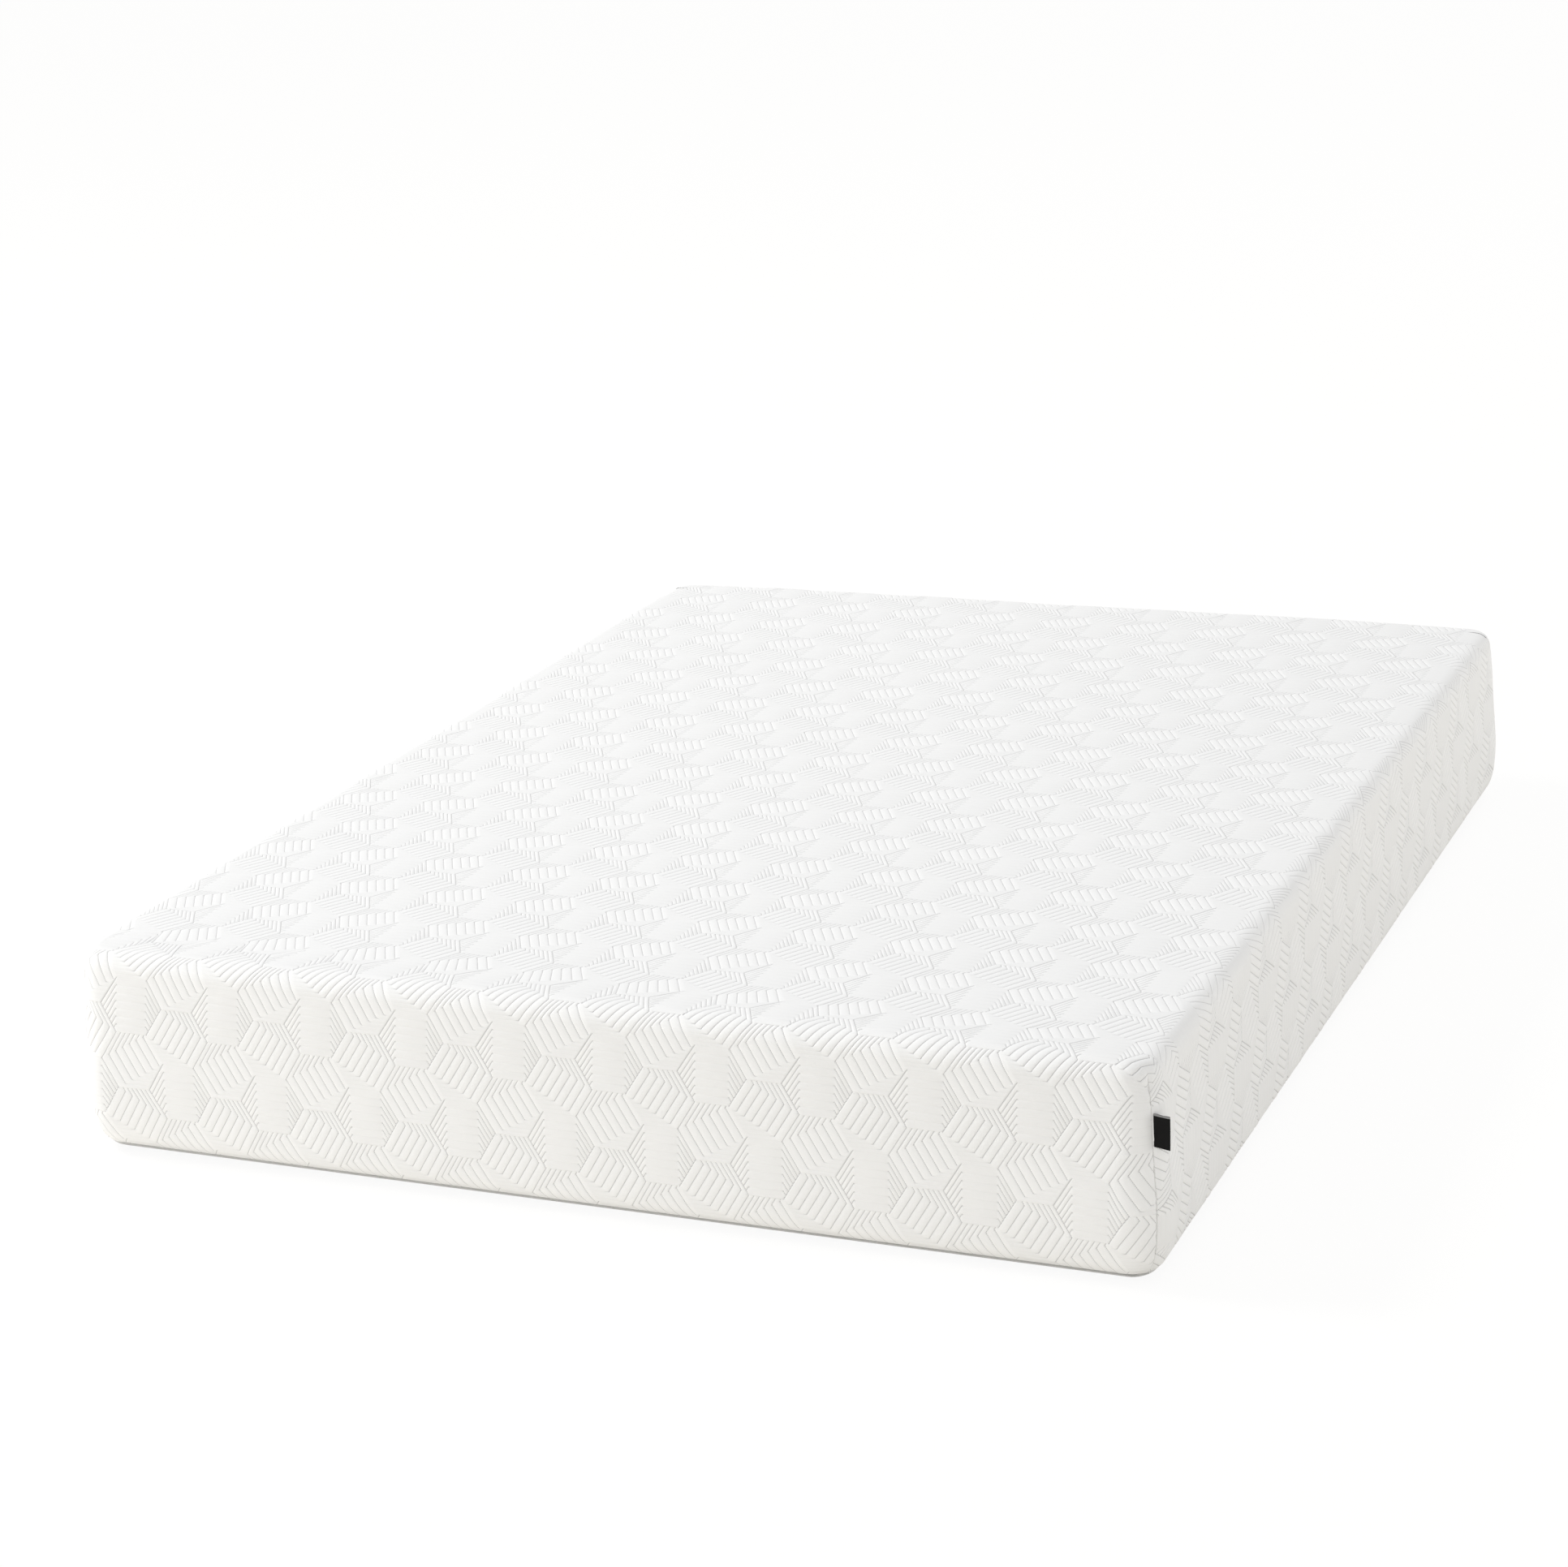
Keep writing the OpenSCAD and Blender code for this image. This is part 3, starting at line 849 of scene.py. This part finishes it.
class Nodes:
    """The shader nodes of a material or of the sky."""

    def __init__(self, owner):
        owner.use_nodes = True
        self.tree = owner.node_tree

    def plug(self, socket, value):
        """Links a value to a socket, or sets the socket to a constant."""
        if isinstance(value, Value):
            self.tree.links.new(value.socket, socket)
        elif value is not None:
            socket.default_value = value

    def node(self, kind, settings=None, *values, out=0, **named):
        """Adds a node: its settings first, then values or links for its sockets."""
        made = self.tree.nodes.new(kind)
        for setting, value in (settings or {}).items():
            setattr(made, setting, value)
        for number, value in enumerate(values):
            self.plug(made.inputs[number], value)
        for socket, value in named.items():
            self.plug(made.inputs[socket.replace("_", " ")], value)
        if isinstance(out, tuple):
            return [Value(self, made.outputs[name]) for name in out]
        return Value(self, made.outputs[out])


class Finish(Nodes):
    """A material under construction."""

    def __init__(self, name, colour, roughness, **constants):
        self.material = bpy.data.materials.new(name)
        super().__init__(self.material)
        self.material.diffuse_color = (*colour, 1)
        self.shader = self.tree.nodes["Principled BSDF"]
        self.set("Base Color", (*colour, 1))
        self.set("Roughness", roughness)
        for socket, value in constants.items():
            self.set(socket.replace("_", " "), value)

    def set(self, socket, value):
        self.plug(self.shader.inputs[socket], value)

    def attribute(self, name, out="Fac"):
        return self.node("ShaderNodeAttribute", {"attribute_name": name}, out=out)

    def place(self):
        return self.node("ShaderNodeTexCoord", out="Object")

    def parts(self, vector):
        return self.node("ShaderNodeSeparateXYZ", None, vector, out=("X", "Y", "Z"))

    def noise(self, vector, size, detail=2.0, rough=0.5):
        return self.node("ShaderNodeTexNoise", None, Vector=vector, Scale=1 / size,
                         Detail=detail, Roughness=rough)

    def blend(self, factor, first, second):
        """Mixes two colours; a Mix node's colour sockets come after five others."""
        colours = [c if isinstance(c, Value) else (*c, 1) for c in (first, second)]
        return self.node("ShaderNodeMix", {"data_type": "RGBA"}, factor, *[None] * 5, *colours,
                         out=2)

    def tint(self, factor, first, second):
        """Runs the base colour from one colour to another."""
        self.set("Base Color", self.blend(factor, first, second))

    def bump(self, height, distance, strength=1.0):
        self.set("Normal", self.node("ShaderNodeBump", None, Height=height, Distance=distance,
                                     Strength=strength))


def shade(colour, factor):
    return tuple(min(1.0, c * factor) for c in colour)


def knit_finish(knit):
    """Stretch knit: fine courses, grooves darkened with painted shade, and lines of stitches."""
    finish = Finish("quilt_knit", knit.colour, 0.92, Sheen_Weight=0.15, Sheen_Roughness=0.6,
                    Specular_IOR_Level=0.2)
    cloth = finish.attribute("cloth", out="Vector")
    x, y, _ = finish.parts(cloth)
    groove = finish.attribute("groove")
    stitch = finish.attribute("stitch")
    way = heading(120)
    beads = (x * way.x + y * way.y).wave(knit.bead) * stitch
    worn = finish.noise(cloth, 0.11, 3.0)
    # painted shade: the grooves' colour darkens where real shade would fall, broken into dots
    # along lines of stitches
    shadow = groove * (1 - stitch * 0.6 + beads * 0.9) * knit.groove_shade
    body = finish.blend(worn, shade(knit.colour, 0.985), shade(knit.colour, 1.01))
    body = finish.blend(finish.attribute("plain") * 0.6, body, shade(knit.colour, 0.955))
    finish.tint(shadow, body, shade(knit.colour, 0.45))
    courses = y.wave(knit.course) * 0.6 + x.wave(knit.wale) * 0.4
    fuzz = finish.noise(cloth, 0.0012, 3.0, 0.7)
    finish.bump(courses * 0.5 + fuzz * 0.5 - beads * groove * 1.5, 0.00022, 0.8)
    return finish.material


def thread_finish(seam):
    """Twisted sewing thread."""
    finish = Finish("sewing_thread", seam.colour, 0.6, Sheen_Weight=0.3)
    x, y, z = finish.parts(finish.place())
    twist = (z + (x + y) * 0.7).wave(0.0007)
    finish.tint(twist, shade(seam.colour, 0.82), seam.colour)
    finish.bump(twist, 0.0001)
    return finish.material


def ribbon_finish(label):
    """Damask ribbon: fine satin weave, with a paler band at its top."""
    low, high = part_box("label_tab")
    finish = Finish("woven_ribbon", label.colour, 0.6, Specular_IOR_Level=0.1)
    x, _, z = finish.parts(finish.place())
    droop = (x - low[0]) * (label.droop / (high[0] - low[0]))
    band = z + droop > high[2] - label.drop - label.band
    weft = (z + x * 0.3).wave(0.0005)
    warp = (x - z * 0.2).wave(0.0006)
    weave = weft * 0.6 + warp * 0.4
    body = finish.blend(weave, shade(label.colour, 0.6), shade(label.colour, 1.5))
    pale = finish.blend(weave, shade(label.band_colour, 0.7), label.band_colour)
    finish.tint(band, body, pale)
    finish.set("Roughness", weave * 0.2 + 0.45)
    finish.bump(weave, 0.00008)
    return finish.material


def base_cloth_finish(colour):
    """Spunbond cloth, embossed with small points in a diamond lay."""
    finish = Finish("base_spunbond", colour, 0.85, Sheen_Weight=0.1)
    place = finish.place()
    x, y, _ = finish.parts(place)
    points = (x + y).wave(0.0032) * (x - y).wave(0.0032)
    fibres = finish.noise(place, 0.0009, 4.0, 0.7)
    cloud = finish.noise(place, 0.05, 3.0)
    finish.tint(cloud * 0.6 + points * 0.4, colour, shade(colour, 0.86))
    finish.bump(fibres * 0.4 - points, 0.00025)
    return finish.material


def tape_finish(colour):
    """Herringbone twill of the zip's tapes."""
    finish = Finish("zip_tape", colour, 0.8, Sheen_Weight=0.2)
    x, y, z = finish.parts(finish.place())
    rows = z.wave(0.004)
    twill = (x + y + (rows - 0.5).absolute() * 0.004 + z * 0.8).wave(0.0011)
    finish.tint(twill, shade(colour, 0.8), colour)
    finish.bump(twill, 0.00015)
    return finish.material


def coil_finish(colour):
    """Drawn nylon monofilament."""
    finish = Finish("zip_nylon", colour, 0.35, Specular_IOR_Level=0.45)
    noise = finish.noise(finish.place(), 0.002, 2.0)
    finish.tint(noise, shade(colour, 0.93), colour)
    finish.set("Roughness", noise * 0.2 + 0.28)
    return finish.material


def metal_finish(colour):
    """Tumbled, plated zinc with worn high spots."""
    finish = Finish("zip_zinc", colour, 0.32, Metallic=1.0)
    place = finish.place()
    wear = finish.noise(place, 0.004, 4.0, 0.6)
    pits = finish.noise(place, 0.0006, 3.0, 0.6)
    finish.tint(wear, shade(colour, 0.8), colour)
    finish.set("Roughness", wear * 0.25 + 0.22)
    finish.bump(pits, 0.00003)
    return finish.material


def foam_finish(name, colour, pore):
    """Open-cell foam."""
    finish = Finish(name, colour, 0.95)
    place = finish.place()
    cells = finish.node("ShaderNodeTexVoronoi", {"feature": "F1"}, Vector=place, Scale=1 / pore)
    cloud = finish.noise(place, 0.08, 2.0)
    finish.tint(cloud * 0.5 + cells * 0.3, colour, shade(colour, 0.86))
    finish.bump(cells, pore * 0.4)
    return finish.material


def sock_finish(colour):
    """Plain jersey of the fire sock."""
    finish = Finish("sock_jersey", colour, 0.9, Sheen_Weight=0.2)
    x, y, z = finish.parts(finish.place())
    wales = (x + y).wave(0.0016)
    courses = (x - y + z).wave(0.0013)
    finish.tint(wales * courses, shade(colour, 0.85), colour)
    finish.bump(wales * 0.5 + courses * 0.5, 0.0003)
    return finish.material


# Colour and pore size of each foam
FOAMS = {
    "memory_foam": ((0.85, 0.80, 0.66), 0.0009),
    "transition_foam": ((0.66, 0.74, 0.78), 0.0014),
    "support_foam": ((0.80, 0.76, 0.62), 0.0018),
}
SOCK_COLOUR = (0.72, 0.72, 0.70)


def dress(node, material):
    """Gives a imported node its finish."""
    mesh = frame["nodes"][node].data
    mesh.materials.clear()
    mesh.materials.append(material)


# ---------------------------------------------------------------- stage


WHITE = (1, 1, 1, 1)
# Place of the camera, and its yaw, pitch and roll
CAMERA_PLACE = (1.8827, -4.6949, 1.8848)
CAMERA_TURN = (0.4055, 0.3075, -0.0501)
# Each lamp: setting of its power, name, place, width and height, and height of its aim
LAMPS = (
    ("key", "key", (-7.24, -1.25, 7.55), (2.1, 2.1), 0.2),
    ("front", "front strip", (-3.6, -5.2, 0.14), (3, 0.22), 0.14),
    ("right", "right strip", (5.4, 1.6, 0.14), (3, 0.22), 0.14),
)


def place_camera(scene, lens):
    camera = bpy.data.objects.new("camera", bpy.data.cameras.new("camera"))
    scene.collection.objects.link(camera)
    yaw, pitch, roll = CAMERA_TURN
    turn = (Matrix.Rotation(yaw, 4, "Z") @ Matrix.Rotation(math.pi / 2 - pitch, 4, "X")
            @ Matrix.Rotation(roll, 4, "Z"))
    camera.matrix_world = Matrix.Translation(CAMERA_PLACE) @ turn
    camera.data.lens = lens
    camera.data.sensor_width = 36
    camera.data.clip_end = 100
    scene.camera = camera


def lay_floor(colour):
    """A pale floor that takes shadows and is nearly white itself."""
    bm = bmesh.new()
    bmesh.ops.create_circle(bm, cap_ends=True, radius=45, segments=48)
    finish = Finish("pale_floor", colour, 0.95, Specular_IOR_Level=0.1)
    rays = finish.node("ShaderNodeLightPath",
                       out=("Is Camera Ray", "Is Glossy Ray", "Is Transmission Ray"))
    glow = finish.node("ShaderNodeEmission", None, WHITE, 1.02)
    white = finish.node("ShaderNodeMixShader", None, (rays[0] + rays[1] + rays[2]) * 0.9,
                        Value(finish, finish.shader.outputs[0]), glow)
    finish.plug(finish.tree.nodes["Material Output"].inputs["Surface"], white)
    return object_from(bm, "floor", finish.material, smooth=False)


def hang_sky(scene, strength):
    """Even light from all round, in front of a white backdrop."""
    scene.world = bpy.data.worlds.new("studio")
    sky = Nodes(scene.world)
    light = sky.tree.nodes["Background"]
    sky.plug(light.inputs["Color"], WHITE)
    sky.plug(light.inputs["Strength"], strength)
    backdrop = sky.node("ShaderNodeBackground", None, WHITE, 1)
    seen, mirrored = sky.node("ShaderNodeLightPath", out=("Is Camera Ray", "Is Glossy Ray"))
    mixed = sky.node("ShaderNodeMixShader", None, seen + mirrored,
                     Value(sky, light.outputs[0]), backdrop)
    sky.plug(sky.tree.nodes["World Output"].inputs["Surface"], mixed)


def hang_lamps(scene, stage):
    for setting, name, place, size, aim in LAMPS:
        lamp = bpy.data.objects.new(name, bpy.data.lights.new(name, "AREA"))
        scene.collection.objects.link(lamp)
        lamp.data.energy = getattr(stage, setting)
        lamp.data.shape = "RECTANGLE"
        lamp.data.size, lamp.data.size_y = size
        lamp.location = place
        away = Vector((0, 0, aim)) - Vector(place)
        lamp.rotation_euler = away.to_track_quat("-Z", "Y").to_euler()


# ---------------------------------------------------------------- settings


def length(name, description, default, low=0.0001, high=0.2):
    return FloatProperty(name=name, description=description, default=default, min=low, max=high,
                         unit="LENGTH", precision=5)


def share(name, description, default, high=1.0):
    return FloatProperty(name=name, description=description, default=default, min=0, max=high,
                         subtype="FACTOR")


def power(name, description, default):
    return FloatProperty(name=name, description=description, default=default, min=0,
                         unit="POWER")


def colour(name, description, default):
    return FloatVectorProperty(name=name, description=description, default=default, min=0, max=1,
                               size=3, subtype="COLOR")


class KnitSettings(PropertyGroup):
    hexagon: length("Hexagon", "Height of one hexagon of the knit", 0.08055)
    ribs_across: IntProperty(name="Ribs", description="Wide ribs across a hexagon", default=7,
                             min=4, max=12)
    groove: length("Groove", "Width of the grooves between ribs", 0.0015)
    bend: length("Bend", "Reach of a groove's bend at a fold line", 0.0025)
    wide_loft: length("Wide loft", "Height of the wide ribs", 0.0013)
    narrow_loft: length("Narrow loft", "Height of the narrow ribs", 0.0011)
    stitched_loft: share("Stitched", "Loft left where a groove is a line of stitches", 0.8)
    faint_level: length("Faint level", "Height at which the level ribs start", 0.0010, low=0.0)
    faint_loft: share("Faint", "Loft left in the level ribs", 0.11)
    skew: FloatProperty(name="Skew", description="Turn of the knit on the bed", default=-0.0224,
                        subtype="ANGLE")
    anchor: FloatVectorProperty(name="Anchor", default=(0.0088, -0.5710), size=2, unit="LENGTH",
                                description="Centre of one stitched hexagon on the top")
    foot_gather: length("Foot gather", "Cloth eased in over the foot edge", 0.0190)
    foot_pull: length("Foot pull", "Sideways pull of the cloth at the foot", 0.028)
    foot_stretch: share("Foot stretch", "Sideways stretch of the cloth at the foot", 0.025, 0.1)
    bead: length("Bead", "Distance from one stitch in a groove to the next", 0.0026)
    course: length("Course", "Height of one course of the fine knit", 0.0022)
    wale: length("Wale", "Width of one wale of the fine knit", 0.0018)
    # strength of the painted shade in the grooves
    groove_shade: share("Groove shade", "How dark the grooves are", 0.66)
    colour: colour("Colour", "Colour of the yarn", (0.893, 0.893, 0.889))


class SeamSettings(PropertyGroup):
    stitch: length("Stitch", "Length of a stitch of the corner seams", 0.0042)
    thread: length("Thread", "Diameter of the thread", 0.0011)
    sunk: length("Sunk", "Depth of the thread below the cloth's surface", 0.0005)
    clear_below: length("Clear below", "Seam left bare above the bottom edge", 0.004)
    clear_above: length("Clear above", "Seam left bare below the top edge", 0.008)
    slant: FloatProperty(name="Slant", description="Lean of the stitches in degrees", default=24.0)
    colour: colour("Colour", "Colour of the thread", (0.88, 0.875, 0.86))


class LabelSettings(PropertyGroup):
    thickness: length("Thickness", "Thickness of the ribbon", 0.0005)
    curl: length("Curl", "How far the free edge bends over", 0.0012)
    buckle: length("Buckle", "Height of the ribbon's small waves", 0.0004)
    drop: length("Drop", "How far the ribbon slips down in the loose corner seam", 0.0034)
    droop: length("Droop", "How far the free edge hangs below the sewn one", 0.0023)
    band: length("Band", "Height of the paler band at the top", 0.0020)
    colour: colour("Colour", "Colour of the ribbon", (0.0045, 0.0042, 0.0040))
    band_colour: colour("Band colour", "Colour of the band", (0.33, 0.33, 0.33))


class ZipSettings(PropertyGroup):
    coil_pitch: length("Coil pitch", "Distance from one turn of the coil to the next", 0.0014)
    chain: length("Chain", "Width of the closed chain", 0.006)
    tape_colour: colour("Tape colour", "Colour of the tapes", (0.84, 0.835, 0.81))
    coil_colour: colour("Coil colour", "Colour of the nylon", (0.86, 0.86, 0.85))
    metal_colour: colour("Metal colour", "Colour of the plated zinc", (0.62, 0.63, 0.64))
    base_colour: colour("Base colour", "Colour of the base cloth", (0.74, 0.735, 0.71))


class StageSettings(PropertyGroup):
    floor_colour: colour("Floor colour", "Colour of the floor", (0.9, 0.872, 0.81))
    sky: FloatProperty(name="Sky", description="Strength of the light from all round",
                       default=0.735, min=0)
    key: power("Key", "Power of the lamp at the upper left", 475)
    front: power("Front", "Power of the low strip in front of the foot", 52)
    right: power("Right", "Power of the low strip at the right", 33)
    lens: FloatProperty(name="Lens", description="Focal length", default=79.71, unit="CAMERA")


# ---------------------------------------------------------------- operators


class MATTRESS_OT_knit_cover(Operator):
    """Quilts the knit, folds it over the core and closes it at the corners"""

    bl_idname = "mattress.knit_cover"
    bl_label = "Knit Cover"

    def execute(self, context):
        knit = context.scene.mattress_knit
        cover = make_cover(knit, knit_finish(knit))
        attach(cover, BODY)
        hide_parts("knit_cover")
        return {"FINISHED"}


class MATTRESS_OT_corner_seams(Operator):
    """Sews the four corner seams"""

    bl_idname = "mattress.corner_seams"
    bl_label = "Corner Seams"

    def execute(self, context):
        seam = context.scene.mattress_seam
        stitches = make_stitches(seam, thread_finish(seam))
        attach(stitches, BODY)
        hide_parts("corner_threads")
        return {"FINISHED"}


class MATTRESS_OT_label(Operator):
    """Weaves and folds the label in the foot's right corner"""

    bl_idname = "mattress.label"
    bl_label = "Label"

    def execute(self, context):
        label = context.scene.mattress_label
        ribbon, cut = make_label(label, ribbon_finish(label))
        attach(ribbon, BODY)
        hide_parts("label_tab")
        return {"FINISHED"}


class MATTRESS_OT_base_cloth(Operator):
    """Lays the base cloth under the foam and turns it up to the zip"""

    bl_idname = "mattress.base_cloth"
    bl_label = "Base Cloth"

    def execute(self, context):
        cloth = make_base_cloth(base_cloth_finish(context.scene.mattress_zip.base_colour))
        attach(cloth, BODY)
        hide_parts("base_panel")
        return {"FINISHED"}


class MATTRESS_OT_zip(Operator):
    """Winds the zip's coils and finishes its tapes, stops, slider and pull"""

    bl_idname = "mattress.zip"
    bl_label = "Zip"

    def execute(self, context):
        zipper = context.scene.mattress_zip
        nylon = coil_finish(zipper.coil_colour)
        for side, node in ((1, "knit_zip_coil"), (-1, "base_zip_coil")):
            coil = make_coil(zipper, side, node, nylon)
            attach(coil, BODY)
            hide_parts(node)
        twill = tape_finish(zipper.tape_colour)
        for node in ("knit_zip_tape", "base_zip_tape"):
            dress(node, twill)
        zinc = metal_finish(zipper.metal_colour)
        for node in ("zip_top_stops", "zip_bottom_stop", "zip_slider", "zip_pull"):
            dress(node, zinc)
        return {"FINISHED"}


class MATTRESS_OT_core(Operator):
    """Finishes the three foams and the fire sock"""

    bl_idname = "mattress.core"
    bl_label = "Foam Core"

    def execute(self, context):
        for layer, (tone, pore) in FOAMS.items():
            dress(layer, foam_finish(layer, tone, pore))
        dress("fire_sock", sock_finish(SOCK_COLOUR))
        return {"FINISHED"}


class MATTRESS_OT_stage(Operator):
    """Sets the camera, the pale floor and the soft light"""

    bl_idname = "mattress.stage"
    bl_label = "Stage"

    def execute(self, context):
        scene = context.scene
        stage = scene.mattress_stage
        for obj in bpy.data.objects[:]:
            if obj.type in ("CAMERA", "LIGHT") or obj.name == "Cube":
                bpy.data.objects.remove(obj)
        place_camera(scene, stage.lens)
        floor = lay_floor(stage.floor_colour)
        hang_sky(scene, stage.sky)
        hang_lamps(scene, stage)
        scene.view_settings.view_transform = "Standard"
        return {"FINISHED"}


class MATTRESS_PT_sidebar(Panel):
    bl_label = "Mattress"
    bl_space_type = "VIEW_3D"
    bl_region_type = "UI"
    bl_category = "Mattress"

    def draw(self, context):
        for group, operators in ORDER.items():
            box = self.layout.box()
            if group:
                settings = getattr(context.scene, group)
                for name in settings.__annotations__:
                    box.prop(settings, name)
            for operator in operators:
                box.operator(operator.bl_idname)


GROUPS = {
    "mattress_stage": StageSettings,
    "mattress_knit": KnitSettings,
    "mattress_seam": SeamSettings,
    "mattress_label": LabelSettings,
    "mattress_zip": ZipSettings,
}
ORDER = {
    "mattress_stage": (MATTRESS_OT_stage,),
    "mattress_knit": (MATTRESS_OT_knit_cover,),
    "mattress_seam": (MATTRESS_OT_corner_seams,),
    "mattress_label": (MATTRESS_OT_label,),
    "mattress_zip": (MATTRESS_OT_base_cloth, MATTRESS_OT_zip),
    "": (MATTRESS_OT_core,),
}
CLASSES = (*GROUPS.values(), *(op for ops in ORDER.values() for op in ops), MATTRESS_PT_sidebar)


def register():
    for cls in CLASSES:
        bpy.utils.register_class(cls)
    for name, group in GROUPS.items():
        setattr(bpy.types.Scene, name, PointerProperty(type=group))


def unregister():
    for name in GROUPS:
        delattr(bpy.types.Scene, name)
    for cls in reversed(CLASSES):
        bpy.utils.unregister_class(cls)


def main():
    register()
    for operators in ORDER.values():
        for operator in operators:
            group, name = operator.bl_idname.split(".")
            getattr(getattr(bpy.ops, group), name)()


if __name__ == "__main__":
    main()
